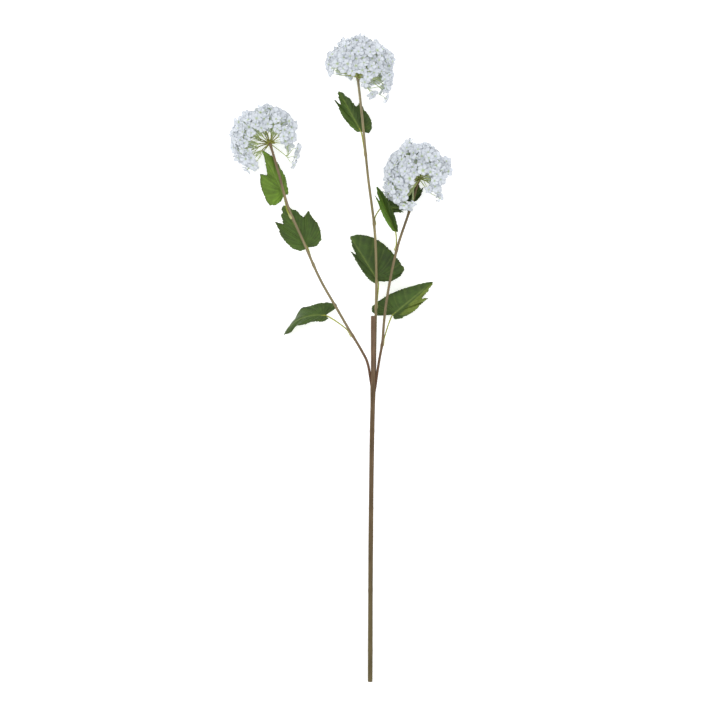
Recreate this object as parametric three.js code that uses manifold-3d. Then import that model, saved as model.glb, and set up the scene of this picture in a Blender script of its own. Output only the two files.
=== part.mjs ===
// A cut spray of snowball viburnum, lying on its side.
// Millimetres, +Z up. The spray lies along +Y with its cut end towards -Y. Places
// along +Y are measured from the blunt top of the main stem, and heights from the
// surface the spray lies on. The finished group stands with the middle of its
// underside at the origin.

import * as THREE from 'three';
import { mergeVertices } from 'three/addons/utils/BufferGeometryUtils.js';
import Module from 'manifold-3d';

const wasm = await Module();
wasm.setup();

// ---------------------------------------------------------------- sizes

const GAP = 0.35; // air between two pieces that meet

const STEM_LENGTH = 440; // cut end to the blunt top above the fork
const STEM_RADIUS = 2.75;
const STEM_TOP_HEIGHT = 22.55; // of its axis above the surface; the cut end rests on it
const BRANCH_RADIUS = 1.55;
const BRANCH_PASS = 2 * BRANCH_RADIUS + GAP; // between two branches that cross
const KNOB_SWELL = 1.45; // how much wider than its branch the knob of a head is
const KNOB_RADIUS = BRANCH_RADIUS + KNOB_SWELL;

const PETIOLE_RADIUS = 0.75;
const PETIOLE_TUCK = 2.5; // how far the petiole runs on under the blade
const LEAF_THICKNESS = 0.6;

const HEAD_RADIUS = 41; // knob side to petal tips
const FLORET_RADIUS = 6.3;
const FLORET_CUP = 1.6; // how far the petal tips stand above the throat
const NOTCH_REACH = 0.62; // of the radius, at the notch between two petals
const NOTCH_LIFT = 0.45; // of the cup, at the notch
const THROAT_DEPTH = 1; // from the face of a floret down to its pedicel
const FLORET_SPACING = 1.1; // from one floret to the next over the dome
const FLORET_FLOOR = 0.3; // lowest a petal reaches above the surface
const CLUSTERS_PER_HEAD = 14;
const RAY_RADIUS = 0.8;
const PEDICEL_RADIUS = 0.5;
const FORK_RADIUS = 2; // the swelling where a ray divides
const RAY_SHARE = 0.5; // of the way from knob to dome where a ray divides

const COLOURS = {
  stem: 0x7a6a48,
  branch: 0x86704c,
  leaf: 0x3f6128,
  floret: 0xe6ebf1,
};

// The gentle bow of the main stem: share of its length from the cut end, and how far
// it has drifted towards +X there.
const STEM_DRIFT = [[0, 0], [0.35, 0.6], [0.66, 2.1], [0.8, 3.4], [1, 3.7]];

// Each branch runs through these points, from the fork to its knob.
const BRANCHES = {
  left: [
    [1.4, -88, 19.2], [0, -72, 20], [-3.6, -55, 21], [-10.6, -41, 22], [-23.8, -19, 23.5],
    [-40.4, 9.6, 25.5], [-60, 44, 28], [-83, 96, 32], [-98, 130, 35], [-110.4, 174, 39],
    [-120, 206.7, 41],
  ],
  centre: [
    [5.2, -83, 19.45 - BRANCH_PASS], [6, -40, 20.05 - BRANCH_PASS], [6.7, 0, 18], [7.4, 40, 20.5], [5.6, 100, 26],
    [-2.8, 169, 33], [-9.6, 238, 38], [-15, 285.8, 40],
  ],
  right: [
    [5.2, -95, 18.4], [7.2, -78, 19.2], [10.6, -55, 20.4], [14.6, -32, 21.6], [16.8, -5, 23],
    [20.4, 23, 25], [31.6, 78.6, 29.5], [47.2, 126.4, 35], [58.6, 164, 39.4],
  ],
};

const FOOT_SHARES = [0.03, 0.06, 0.1, 0.15, 0.2, 0.26]; // of a branch, along its foot

// lean: turn of the dome's axis from +Y towards +X. tip: turn down towards the
// surface. coverage: angle from the axis to the last florets. back: how far a full
// ball would reach behind the knob. hanging: clusters that hang below the dome, as
// shares of the head's radius from its centre.
const HEADS = {
  left: {
    lean: -37, tip: 30, coverage: 117, back: 33,
    hanging: [{ fork: [0.61, -0.49, 0.05], florets: [[0.93, -0.34, 0.07], [0.9, -0.66, -0.05]] }],
  },
  centre: {
    lean: 18, tip: 15, coverage: 113, back: 33,
    hanging: [{ fork: [0.2, -0.46, 0.1], florets: [[0.27, -0.78, 0.17], [0.73, -0.9, 0]] }],
  },
  right: {
    lean: -10, tip: 20, coverage: 126, back: 37,
    hanging: [{ fork: [0.34, -0.41, -0.15], florets: [[0.62, -0.55, -0.16]] }],
  },
};

// node: place along +Y where the petiole leaves its branch. base and tip: the
// two ends of the midrib. face: the way the upper side looks. widths: left and
// right half width. skew: how far each half slants along the midrib per mm across
// it. fold: how far each half lifts, in degrees. arch: height of the midrib's bow.
// plain: which half, left or right, has no side lobe.
const LEAVES = {
  left_lower: {
    branch: 'left', node: -24, base: [-53, 0.4, 21], tip: [-104, -23, 8],
    face: [-0.3, 0.8, 0.6], widths: [15, 16], skew: [0, -0.2], fold: 5, arch: 11,
  },
  left_middle: {
    branch: 'left', node: 61, base: [-75, 82, 24], tip: [-104, 133, 22],
    face: [0, 0, 1], widths: [21, 25], skew: [-0.2, -0.2], fold: 8, arch: 3,
  },
  left_upper: {
    branch: 'left', node: 117, base: [-104, 145, 29], tip: [-128, 197, 41],
    face: [0.45, 0, 1], widths: [22, 12], skew: [0.5, 0], fold: 8, arch: 2,
    plain: [false, true],
  },
  centre_lower: {
    branch: 'centre', node: 10, base: [9.6, 41.5, 16], tip: [-24, 96, 9],
    face: [0, 0, 1], widths: [10, 34], skew: [-0.2, -0.6], fold: 4, arch: 3,
    plain: [false, true],
  },
  centre_middle: {
    branch: 'centre', node: 110, base: [14, 130, 18], tip: [47, 130, 8],
    face: [0, 0, 1], widths: [13, 12], skew: [0.2, 0.2], fold: 8, arch: 3,
  },
  centre_upper: {
    branch: 'centre', node: 193, base: [-11, 221, 31], tip: [-37.5, 270, 22],
    face: [0, 0, 1], widths: [11, 18], skew: [-0.8, -0.6], fold: 14, arch: 3,
  },
  right_lower: {
    branch: 'right', node: -35, base: [27, 1.5, 11], tip: [75.5, 41.5, 10],
    face: [0, 0, 1], widths: [24, 13], skew: [1.2, 0], fold: 3, arch: 3,
    plain: [true, false],
  },
  right_middle: {
    branch: 'right', node: 79, base: [30.5, 101, 29], tip: [8, 155, 38],
    face: [0, 0, 1], widths: [13, 12], skew: [-0.8, 0.2], fold: 58, arch: 2,
    plain: [false, true],
  },
  right_upper: {
    branch: 'right', node: 126, base: [52, 137, 30], tip: [58, 157, 32],
    face: [0, 0, 1], widths: [12, 9], skew: [0.2, 0], fold: 8, arch: 1,
  },
};

// One half of a blade, base to tip: share of the half width, share of the length.
const LOBED_EDGE = [
  [0, 0], [0.42, -0.03], [0.78, 0.08], [0.97, 0.26], [1, 0.42], [0.92, 0.55],
  [0.93, 0.74], [0.55, 0.62], [0.46, 0.72], [0.44, 0.82], [0.26, 0.86], [0.2, 0.95], [0, 1],
];
const PLAIN_EDGE = [
  [0, 0], [0.42, -0.03], [0.78, 0.08], [0.97, 0.24], [1, 0.4], [0.94, 0.55],
  [0.84, 0.66], [0.7, 0.78], [0.5, 0.87], [0.3, 0.94], [0.14, 0.98], [0, 1],
];
const MIDRIB_SHARES = [0.2, 0.4, 0.6, 0.8];

// --------------------------------------------------------------- helpers

const vec = (point) => new THREE.Vector3(...point);
const radians = THREE.MathUtils.degToRad;
const UP = new THREE.Vector3(0, 0, 1);

function toSolid(geometry) {
  const bare = geometry.clone();
  bare.deleteAttribute('normal');
  bare.deleteAttribute('uv');
  const merged = mergeVertices(bare, 1e-4);
  return new wasm.Manifold(new wasm.Mesh({
    numProp: 3,
    vertProperties: merged.attributes.position.array,
    triVerts: new Uint32Array(merged.index.array),
  }));
}

function toGeometry(solid) {
  const mesh = solid.getMesh();
  const geometry = new THREE.BufferGeometry();
  geometry.setAttribute('position', new THREE.BufferAttribute(mesh.vertProperties, 3));
  geometry.setIndex(new THREE.BufferAttribute(mesh.triVerts, 1));
  geometry.computeVertexNormals();
  return geometry;
}

function joined(geometries) {
  return geometries.map(toSolid).reduce((whole, piece) => whole.add(piece));
}

function closedSurface(points, triangles) {
  const geometry = new THREE.BufferGeometry();
  geometry.setFromPoints(points);
  geometry.setIndex(triangles.flat());
  return geometry;
}

function namedMesh(name, geometry, colour, roughness) {
  const material = new THREE.MeshStandardMaterial({ color: colour, roughness, metalness: 0 });
  const mesh = new THREE.Mesh(geometry, material);
  mesh.name = name;
  return mesh;
}

// A rod of one radius along a curve, with a regular section of so many sides.
function rod(curve, radius, sides, steps) {
  const section = new THREE.Shape(Array.from({ length: sides }, (_, i) => {
    const turn = (i * 2 * Math.PI) / sides;
    return new THREE.Vector2(radius * Math.cos(turn), radius * Math.sin(turn));
  }));
  return new THREE.ExtrudeGeometry(section, { steps, extrudePath: curve, bevelEnabled: false });
}

// The point of a curve that climbs steadily along +Y at one distance along +Y.
function pointAtY(curve, y) {
  let low = 0;
  let high = 1;
  for (let i = 0; i < 30; i += 1) {
    const middle = (low + high) / 2;
    if (curve.getPoint(middle).y < y) low = middle;
    else high = middle;
  }
  return curve.getPoint(low);
}

// ----------------------------------------------------------------- stems

const stemPoints = STEM_DRIFT.map(([share, drift]) => {
  const height = THREE.MathUtils.lerp(STEM_RADIUS, STEM_TOP_HEIGHT, share);
  return new THREE.Vector3(drift, (share - 1) * STEM_LENGTH, height);
});
const stemCurve = new THREE.CatmullRomCurve3(stemPoints);

const branchCurves = {};
for (const [side, points] of Object.entries(BRANCHES)) {
  branchCurves[side] = new THREE.CatmullRomCurve3(points.map(vec), false, 'centripetal');
}

// The foot of a branch with a coat of air round it, a little longer at the fork. The
// coat is a shade thicker than the gap, since its flat sides cut inside its radius.
function branchClearance(curve) {
  const start = curve.getPoint(0);
  const back = curve.getTangent(0).multiplyScalar(-GAP);
  const foot = FOOT_SHARES.map((share) => curve.getPoint(share));
  const path = new THREE.CatmullRomCurve3([start.add(back), ...foot]);
  return toSolid(rod(path, BRANCH_RADIUS + GAP * 1.15, 8, 8));
}

function buildStems() {
  const stems = new THREE.Group();
  let stem = toSolid(rod(stemCurve, STEM_RADIUS, 12, 8));
  for (const curve of Object.values(branchCurves)) {
    stem = stem.subtract(branchClearance(curve));
  }
  stems.add(namedMesh('main_stem', toGeometry(stem), COLOURS.stem, 0.75));
  for (const [side, curve] of Object.entries(branchCurves)) {
    const knob = new THREE.IcosahedronGeometry(KNOB_RADIUS, 1);
    knob.translate(...curve.getPoint(1));
    const branch = joined([rod(curve, BRANCH_RADIUS, 8, 16), knob]);
    stems.add(namedMesh(`${side}_branch`, toGeometry(branch), COLOURS.branch, 0.7));
  }
  return stems;
}

// ---------------------------------------------------------------- leaves

// Where a point of the flat blade goes: across and along are in mm, and lift is
// its height above the blade. Each half lifts by the fold, and the midrib bows up.
function bendBlade(across, along, lift, leaf, length) {
  const fold = radians(leaf.fold);
  const share = along / length;
  const bow = 4 * leaf.arch * share * (1 - share);
  return new THREE.Vector3(
    across * Math.cos(fold),
    along + across * leaf.skew[across < 0 ? 0 : 1],
    Math.abs(across) * Math.sin(fold) + bow + lift,
  );
}

// The blade, lying along +Y from its base with its upper side up.
function bladeGeometry(leaf, length) {
  const [left, right] = [-1, 1].map((side, i) => {
    const edge = leaf.plain?.[i] ? PLAIN_EDGE : LOBED_EDGE;
    return edge.slice(1, -1).map(([w, l]) => [side * w * leaf.widths[i], l * length]);
  });
  const rib = [0, ...MIDRIB_SHARES, 1].map((share) => [0, share * length]);
  const flat = [...rib, ...right, ...left];
  const ribIds = rib.map((_, i) => i);
  const rightIds = right.map((_, i) => rib.length + i);
  const leftIds = left.map((_, i) => rib.length + right.length + i);
  const last = ribIds[ribIds.length - 1];

  // Each half is its edge, closed by the midrib, running anticlockwise.
  const rightLoop = [0, ...rightIds, last, ...ribIds.slice(1, -1).reverse()];
  const leftLoop = [...ribIds, ...[...leftIds].reverse()];
  const upper = [rightLoop, leftLoop].flatMap((loop) => {
    const outline = loop.map((id) => new THREE.Vector2(...flat[id]));
    return THREE.ShapeUtils.triangulateShape(outline, [])
      .map((triangle) => triangle.map((corner) => loop[corner]));
  });

  const count = flat.length;
  const under = upper.map(([a, b, c]) => [c + count, b + count, a + count]);
  const rim = [0, ...rightIds, last, ...[...leftIds].reverse()];
  const wall = rim.flatMap((a, i) => {
    const b = rim[(i + 1) % rim.length];
    return [[a, a + count, b + count], [a, b + count, b]];
  });
  const lifts = [LEAF_THICKNESS / 2, -LEAF_THICKNESS / 2];
  const points = lifts.flatMap((lift) => flat.map(
    ([across, along]) => bendBlade(across, along, lift, leaf, length),
  ));
  return closedSurface(points, [...upper, ...under, ...wall]);
}

// The place of a blade: it runs from its base to its tip and faces one way.
function bladePlace(leaf) {
  const along = vec(leaf.tip).sub(vec(leaf.base)).normalize();
  const across = along.clone().cross(vec(leaf.face)).normalize();
  const face = across.clone().cross(along);
  return new THREE.Matrix4().makeBasis(across, along, face).setPosition(...leaf.base);
}

// The petiole starts beside its branch and ends under the blade's base.
function petioleGeometry(leaf, placed, length) {
  const curve = branchCurves[leaf.branch];
  const base = vec(leaf.base);
  const node = pointAtY(curve, leaf.node);
  const beside = base.clone().sub(pointAtY(curve, leaf.base[1]));
  beside.y = 0;
  const side = beside.normalize().multiplyScalar(BRANCH_RADIUS + PETIOLE_RADIUS + GAP);
  const next = pointAtY(curve, leaf.node + 8);
  const under = bendBlade(0, PETIOLE_TUCK, -LEAF_THICKNESS / 2, leaf, length).applyMatrix4(placed);
  const start = node.add(side);
  const bend = next.add(side.clone().multiplyScalar(1.1));
  const path = new THREE.CatmullRomCurve3([start, bend, base, under]);
  return rod(path, PETIOLE_RADIUS, 5, 7);
}

function buildLeaves() {
  const leaves = new THREE.Group();
  for (const [name, leaf] of Object.entries(LEAVES)) {
    const length = vec(leaf.tip).distanceTo(vec(leaf.base));
    const placed = bladePlace(leaf);
    const blade = bladeGeometry(leaf, length).applyMatrix4(placed);
    const whole = joined([blade, petioleGeometry(leaf, placed, length)]);
    leaves.add(namedMesh(`${name}_leaf`, toGeometry(whole), COLOURS.leaf, 0.55));
  }
  return leaves;
}

// ----------------------------------------------------------------- heads

// Points spread evenly over a dome round +Z, out to an angle from it.
function domeDirections(count, coverage) {
  const goldenAngle = Math.PI * (3 - Math.sqrt(5));
  const reach = 1 - Math.cos(radians(coverage));
  return Array.from({ length: count }, (_, i) => {
    const height = 1 - reach * ((i + 0.5) / count);
    const ring = Math.sqrt(1 - height * height);
    const turn = i * goldenAngle;
    return new THREE.Vector3(ring * Math.cos(turn), ring * Math.sin(turn), height);
  });
}

// Five rounded lobes round a throat, running down into the pedicel, which ends at
// the fork of its ray.
function floretGeometry(throat, outward, fork) {
  const turned = new THREE.Quaternion().setFromUnitVectors(UP, outward);
  const place = (x, y, z) => new THREE.Vector3(x, y, z).applyQuaternion(turned).add(throat);
  const points = [place(0, 0, 0)];
  for (let i = 0; i < 10; i += 1) {
    const radius = i % 2 === 0 ? FLORET_RADIUS : FLORET_RADIUS * NOTCH_REACH;
    const angle = (i * Math.PI) / 5;
    const height = i % 2 === 0 ? FLORET_CUP : FLORET_CUP * NOTCH_LIFT;
    points.push(place(radius * Math.cos(angle), radius * Math.sin(angle), height));
  }
  const pedicel = throat.clone().sub(fork).normalize();
  const stalkTurn = new THREE.Quaternion().setFromUnitVectors(UP, pedicel);
  for (const end of ['top', 'bottom']) {
    for (let i = 0; i < 3; i += 1) {
      const angle = (i * 2 * Math.PI) / 3;
      const x = PEDICEL_RADIUS * Math.cos(angle);
      const y = PEDICEL_RADIUS * Math.sin(angle);
      if (end === 'top') points.push(place(x, y, -THROAT_DEPTH));
      else points.push(new THREE.Vector3(x, y, 0).applyQuaternion(stalkTurn).add(fork));
    }
  }
  const triangles = [];
  for (let i = 0; i < 10; i += 1) {
    const here = 1 + i;
    const next = 1 + ((i + 1) % 10);
    triangles.push([0, here, next]);
    const ring = 11 + (Math.round((i * 3) / 10) % 3);
    const nextRing = 11 + (Math.round(((i + 1) * 3) / 10) % 3);
    triangles.push([here, ring, next]);
    if (ring !== nextRing) triangles.push([next, ring, nextRing]);
  }
  for (let i = 0; i < 3; i += 1) {
    const j = (i + 1) % 3;
    triangles.push([11 + i, 14 + i, 14 + j], [11 + i, 14 + j, 11 + j]);
  }
  triangles.push([14, 16, 15]);
  return closedSurface(points, triangles);
}

// One ray from the knob, which divides into the pedicels of its florets.
function clusterGeometry(knob, fork, florets) {
  const way = fork.clone().sub(knob).normalize();
  const start = knob.clone().addScaledVector(way, KNOB_RADIUS + GAP);
  const ray = rod(new THREE.LineCurve3(start, fork), RAY_RADIUS, 4, 1);
  const joint = new THREE.OctahedronGeometry(FORK_RADIUS, 0);
  joint.translate(...fork);
  const blooms = florets.map(({ throat, outward }) => floretGeometry(throat, outward, fork));
  return toGeometry(joined([ray, joint, ...blooms]));
}

// Petals that would go through the surface rest on it.
function restOnSurface(throat, outward, floor) {
  const tilt = outward.dot(floor.up);
  const reach = FLORET_RADIUS * Math.sqrt(1 - tilt * tilt) + FLORET_CUP * Math.max(0, -tilt);
  const lowest = throat.dot(floor.up) + floor.height - reach;
  return throat.addScaledVector(floor.up, Math.max(0, FLORET_FLOOR - lowest));
}

function buildHead(side, form) {
  const lean = radians(form.lean);
  const tip = radians(form.tip);
  const axis = new THREE.Vector3(
    Math.sin(lean) * Math.cos(tip), Math.cos(lean) * Math.cos(tip), -Math.sin(tip),
  );
  const head = new THREE.Group();
  head.quaternion.setFromUnitVectors(UP, axis);
  const set = HEAD_RADIUS - form.back;
  head.position.copy(branchCurves[side].getPoint(1)).addScaledVector(axis, set);

  const level = head.quaternion.clone().invert();
  const floor = { up: UP.clone().applyQuaternion(level), height: head.position.z };
  const knob = new THREE.Vector3(0, 0, -set);
  const throatRadius = HEAD_RADIUS - FLORET_CUP;

  const capArea = 2 * Math.PI * throatRadius ** 2 * (1 - Math.cos(radians(form.coverage)));
  const pitch = 2 * FLORET_RADIUS + FLORET_SPACING;
  const floretCount = Math.round(capArea / pitch ** 2);
  const middles = domeDirections(CLUSTERS_PER_HEAD, form.coverage);
  const clusters = middles.map((middle) => ({
    fork: knob.clone().lerp(middle.clone().multiplyScalar(throatRadius), RAY_SHARE),
    florets: [],
  }));
  for (const outward of domeDirections(floretCount, form.coverage)) {
    const distances = middles.map((middle) => middle.distanceTo(outward));
    const nearest = distances.indexOf(Math.min(...distances));
    const throat = outward.clone().multiplyScalar(throatRadius);
    restOnSurface(throat, outward, floor);
    clusters[nearest].florets.push({ throat, outward });
  }
  for (const { fork, florets } of form.hanging) {
    clusters.push({
      fork: vec(fork).multiplyScalar(HEAD_RADIUS).applyQuaternion(level),
      florets: florets.map((place) => {
        const throat = vec(place).multiplyScalar(HEAD_RADIUS).applyQuaternion(level);
        const outward = throat.clone().normalize();
        return { throat: restOnSurface(throat, outward, floor), outward };
      }),
    });
  }
  clusters.forEach(({ fork, florets }, i) => {
    const number = String(i + 1).padStart(2, '0');
    const geometry = clusterGeometry(knob, fork, florets);
    head.add(namedMesh(`${side}_cluster_${number}`, geometry, COLOURS.floret, 0.6));
  });
  return head;
}

// -------------------------------------------------------------- assembly

const spray = new THREE.Group();
spray.add(buildStems(), buildLeaves());
for (const [side, form] of Object.entries(HEADS)) {
  spray.add(buildHead(side, form));
}

const box = new THREE.Box3().setFromObject(spray, true);
const middle = box.getCenter(new THREE.Vector3());
spray.position.set(-middle.x, -middle.y, -box.min.z);

export default spray;
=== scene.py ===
"""A cut spray of snowball viburnum, lying on a pale surface and seen from above.

Lengths are millimetres up to the point where a mesh is made. Places are measured
from the blunt top of the main stem: x across, y along the stem, z above the surface.
"""

import math

import bmesh
import bpy
import numpy as np
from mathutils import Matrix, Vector


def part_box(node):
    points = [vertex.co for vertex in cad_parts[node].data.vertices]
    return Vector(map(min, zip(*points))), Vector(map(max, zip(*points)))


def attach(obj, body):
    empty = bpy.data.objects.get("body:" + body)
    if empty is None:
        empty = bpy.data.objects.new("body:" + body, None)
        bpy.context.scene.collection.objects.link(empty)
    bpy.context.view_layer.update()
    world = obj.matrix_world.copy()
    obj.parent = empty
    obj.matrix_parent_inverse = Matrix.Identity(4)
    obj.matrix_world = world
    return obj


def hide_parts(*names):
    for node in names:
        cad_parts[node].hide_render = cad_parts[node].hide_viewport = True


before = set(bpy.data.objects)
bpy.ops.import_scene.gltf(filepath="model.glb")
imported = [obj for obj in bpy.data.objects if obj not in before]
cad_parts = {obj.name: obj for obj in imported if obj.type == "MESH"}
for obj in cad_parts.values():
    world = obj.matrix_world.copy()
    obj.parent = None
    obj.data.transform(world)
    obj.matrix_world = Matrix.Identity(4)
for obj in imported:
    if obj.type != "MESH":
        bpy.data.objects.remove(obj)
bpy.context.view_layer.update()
rng = np.random.default_rng(11)

MM = 0.001
WELD = 1e-6  # metres

# ---------------------------------------------------------------- sizes

STEM_LENGTH = 440
STEM_RADIUS = 2.75
STEM_TOP_HEIGHT = 22.55
# Share of the stem's length from its cut end, and how far it has drifted towards +X.
STEM_DRIFT = [(0, 0), (0.35, 0.6), (0.66, 2.1), (0.8, 3.4), (1, 3.7)]
STEM_WAVER = 0.02  # share of its radius, as is the next
STEM_WIDENING = 0.03  # beyond its foot
STEM_NODES = (138, 231, 330, 402)  # below the top of the stem
STEM_NODE_SWELL = 0.16
STEM_NODE_WIDTH = 2.2
FORK_PLACE = -88  # where the stem's collar is widest, along it
COLLAR_SWELL = 0.5
COLLAR_WIDTH = 13
BRANCH_RADIUS = 1.55
BRANCH_FOOT = 22  # the length over which a branch tapers into the stem
BRANCH_FOOT_SHARE = 0.3  # of its radius, at its very end inside the stem
BRANCH_FLARE = 0.25  # how much thicker it gets towards its foot, as a share
BRANCH_FLARE_LENGTH = 9
BRANCH_NODE_SWELL = 0.4
BRANCH_NODE_WIDTH = 2.6
KNOB_RADIUS = 3.0
KNOB_WAIST = KNOB_RADIUS * 0.75
KNOB_NECK = 7  # the length over which a branch widens to its knob
PETIOLE_RADIUS = 0.8
PETIOLE_GAP = 0.14

HEAD_RADIUS = 41
FLORET_RADIUS = 7.3
FLORET_PITCH = 9.4
FLORET_CUP = 1.6
SURFACE_CLEARANCE = 0.4
PRESSED_SHARE = 0.8  # how much of its depth below that a point is lifted by
CAD_CLUSTERS = 15  # nodes to a head
RAY_CLUSTERS = 20  # groups of florets spread over a whole ball

BRANCHES = {
    "left": [
        (2.4, -96, 18.6), (0.2, -74, 20), (-3.6, -55, 21), (-10.6, -41, 22),
        (-23.8, -19, 23.5), (-40.4, 9.6, 25.5), (-60, 44, 28), (-83, 96, 32),
        (-98, 130, 35), (-110.4, 174, 39), (-120, 206.7, 41),
    ],
    "centre": [
        (3.6, -101, 17.8), (5.2, -83, 16), (6, -40, 16.6), (6.7, 0, 18), (7.4, 40, 20.5),
        (5.6, 100, 26), (-2.8, 169, 33), (-9.6, 238, 38), (-15, 285.8, 40),
    ],
    "right": [
        (3.9, -104, 18.2), (7, -79, 19.2), (10.6, -55, 20.4), (14.6, -32, 21.6),
        (16.8, -5, 23), (20.4, 23, 25), (31.6, 78.6, 29.5), (47.2, 126.4, 35),
        (58.6, 164, 39.4),
    ],
}

# lean and tip turn a head's axis from +Y towards +X and down, in degrees; back is how
# far the ball reaches behind the knob; shift moves its middle. mouth: how far from the
# knob no floret hides it from above. outline: where the florets lie, seen from above,
# in mm from the middle. fork and hanging: where the hanging florets' pedicels part and
# where those florets sit, as shares of the head's radius from its middle.
HEADS = {
    "left": {
        "lean": -37, "tip": 30, "back": 33, "shift": (-2, 0, 0), "mouth": 10,
        "outline": [
            (-41, 2), (-37, 13), (-32, 22), (-23, 29), (-15, 33), (-3, 41), (13, 39),
            (24, 35), (31, 29), (38, 23), (39, 14), (35, 8), (35, -1), (35, -8),
            (22, -8), (20, -1), (16, 3), (10, 5), (4, 6), (-4, 4), (-9, -1), (-13, -8),
            (-14, -12), (-12, -23), (-11, -34), (-14, -40), (-21, -40), (-28, -32),
            (-37, -17), (-38, -8),
        ],
        "fork": (0.61, -0.49, 0.05),
        "hanging": [(0.95, -0.29, 0.07), (0.91, -0.53, -0.02), (0.85, -0.76, -0.06),
                    (0.73, -0.01, -0.2), (0.68, -0.18, -0.3)],
    },
    "centre": {
        "lean": 18, "tip": 15, "back": 33, "shift": (0, 0, 0), "mouth": 4,
        "outline": [
            (-41, 12), (-37, 22), (-29, 30), (-16, 39), (0, 43), (15, 37), (26, 31),
            (35, 23), (41, 10), (42, -2), (41, -14), (40, -24), (32, -25), (25, -23),
            (23, -14), (16, -16), (14, -24), (2, -25), (-1, -14), (-3, -6), (-11, -10),
            (-23, -5), (-34, -4), (-40, 4),
        ],
        "fork": (0.2, -0.46, 0.1),
        "hanging": [(0.37, -0.68, 0.1), (0.77, -0.8, 0), (0.8, -0.5, 0.2)],
    },
    "right": {
        "lean": -10, "tip": 20, "back": 37, "shift": (-1.3, -2.1, 0), "mouth": 4,
        "outline": [
            (-40, 6), (-34, 20), (-30, 31), (-21, 37), (-9, 44), (9, 43), (19, 43),
            (28, 35), (36, 28), (42, 22), (43, 12), (39, 5), (33, -4), (28, -13),
            (22, -20), (14, -23), (6, -17), (5, -7), (-2, 1), (-8, -10), (-5, -18),
            (-3, -37), (-16, -40), (-22, -32), (-27, -29), (-35, -22), (-42, -13), (-42, -4),
        ],
        "fork": (0.34, -0.41, -0.15),
        "hanging": [(0.6, -0.42, -0.1), (0.66, -0.6, -0.12)],
    },
}

# node: where on its branch a petiole starts. base and tip: the ends of the midrib.
# face: the way the upper side looks. The rest with two values has one for the left and
# one for the right half, seen with the tip away: widths, skew (how far the half slants
# along the midrib per mm across it), edges (its outline, below) and shade (times the
# green; partly the leaf's own tone and partly painted light and painted shade, where
# one half is painted lighter or darker than the other for how light falls on it). fold
# lifts both halves, in degrees, and arch bows the midrib up. young makes the green
# lighter, rolled shows the underside's olive on the right half, and petiole_side is the
# side of the branch that the petiole starts on.
LEAVES = {
    "left_lower": {
        "branch": "left", "node": -24, "base": (-53, 0.4, 21), "tip": (-104, -23, 8),
        "face": (-0.3, 0.76, 0.66), "widths": (13, 17), "skew": (0, -0.7), "fold": 5,
        "arch": 12, "edges": ("plain", "late"), "shade": (1.0, 1.0),
    },
    "left_middle": {
        "branch": "left", "node": 61, "base": (-75, 82, 24), "tip": (-104, 133, 22),
        "face": (0, 0, 1), "widths": (21, 25), "skew": (-0.2, -0.2), "fold": 8,
        "arch": 3, "shade": (1.3, 1.12),
    },
    "left_upper": {
        "branch": "left", "node": 117, "base": (-104, 145, 29), "tip": (-130, 198, 41),
        "face": (0.45, 0, 1), "widths": (22, 12), "skew": (0.4, 0), "fold": 8,
        "arch": 2, "edges": ("round", "plain"), "young": 1, "petiole_side": (-1, 0, 0.3),
    },
    "centre_lower": {
        "branch": "centre", "node": 10, "base": (9.6, 41.5, 16), "tip": (-24, 96, 11.5),
        "face": (0, 0, 1), "widths": (10, 34), "skew": (-0.2, -0.6), "fold": 4,
        "arch": 3, "edges": ("lobed", "full"), "shade": (0.88, 0.92),
    },
    "centre_middle": {
        "branch": "centre", "node": 110, "base": (14, 130, 18), "tip": (47, 130, 8),
        "face": (0, 0, 1), "widths": (13, 6), "skew": (0.2, 0.2), "fold": 8,
        "arch": 3, "shade": (0.9, 0.9),
    },
    "centre_upper": {
        "branch": "centre", "node": 193, "base": (-11, 221, 31), "tip": (-37.5, 270, 22),
        "face": (0, 0, 1), "widths": (11, 18), "skew": (-0.8, -0.6), "fold": 14,
        "arch": 3, "shade": (1.35, 0.95),
    },
    "right_lower": {
        "branch": "right", "node": -35, "base": (27, 1.5, 11), "tip": (75.5, 41.5, 10),
        "face": (0, 0, 1), "widths": (24, 13), "skew": (1.2, 0), "fold": 3,
        "arch": 3, "edges": ("plain", "lobed"), "shade": (1.0, 0.95), "rolled": 1,
    },
    # the shade of 3.1 on its left half is painted light on that steeply folded half
    "right_middle": {
        "branch": "right", "node": 79, "base": (30.5, 101, 29), "tip": (8, 155, 38),
        "face": (0, 0, 1), "widths": (13, 12), "skew": (-0.8, 0.2), "fold": 58,
        "arch": 2, "edges": ("lobed", "plain"), "shade": (3.1, 1.0),
    },
    "right_upper": {
        "branch": "right", "node": 126, "base": (52, 137, 30), "tip": (58, 157, 32),
        "face": (0, 0, 1), "widths": (14, 7), "skew": (0.2, 0.8), "fold": 8,
        "arch": 1, "shade": (0.8, 0.8),
    },
}

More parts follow.
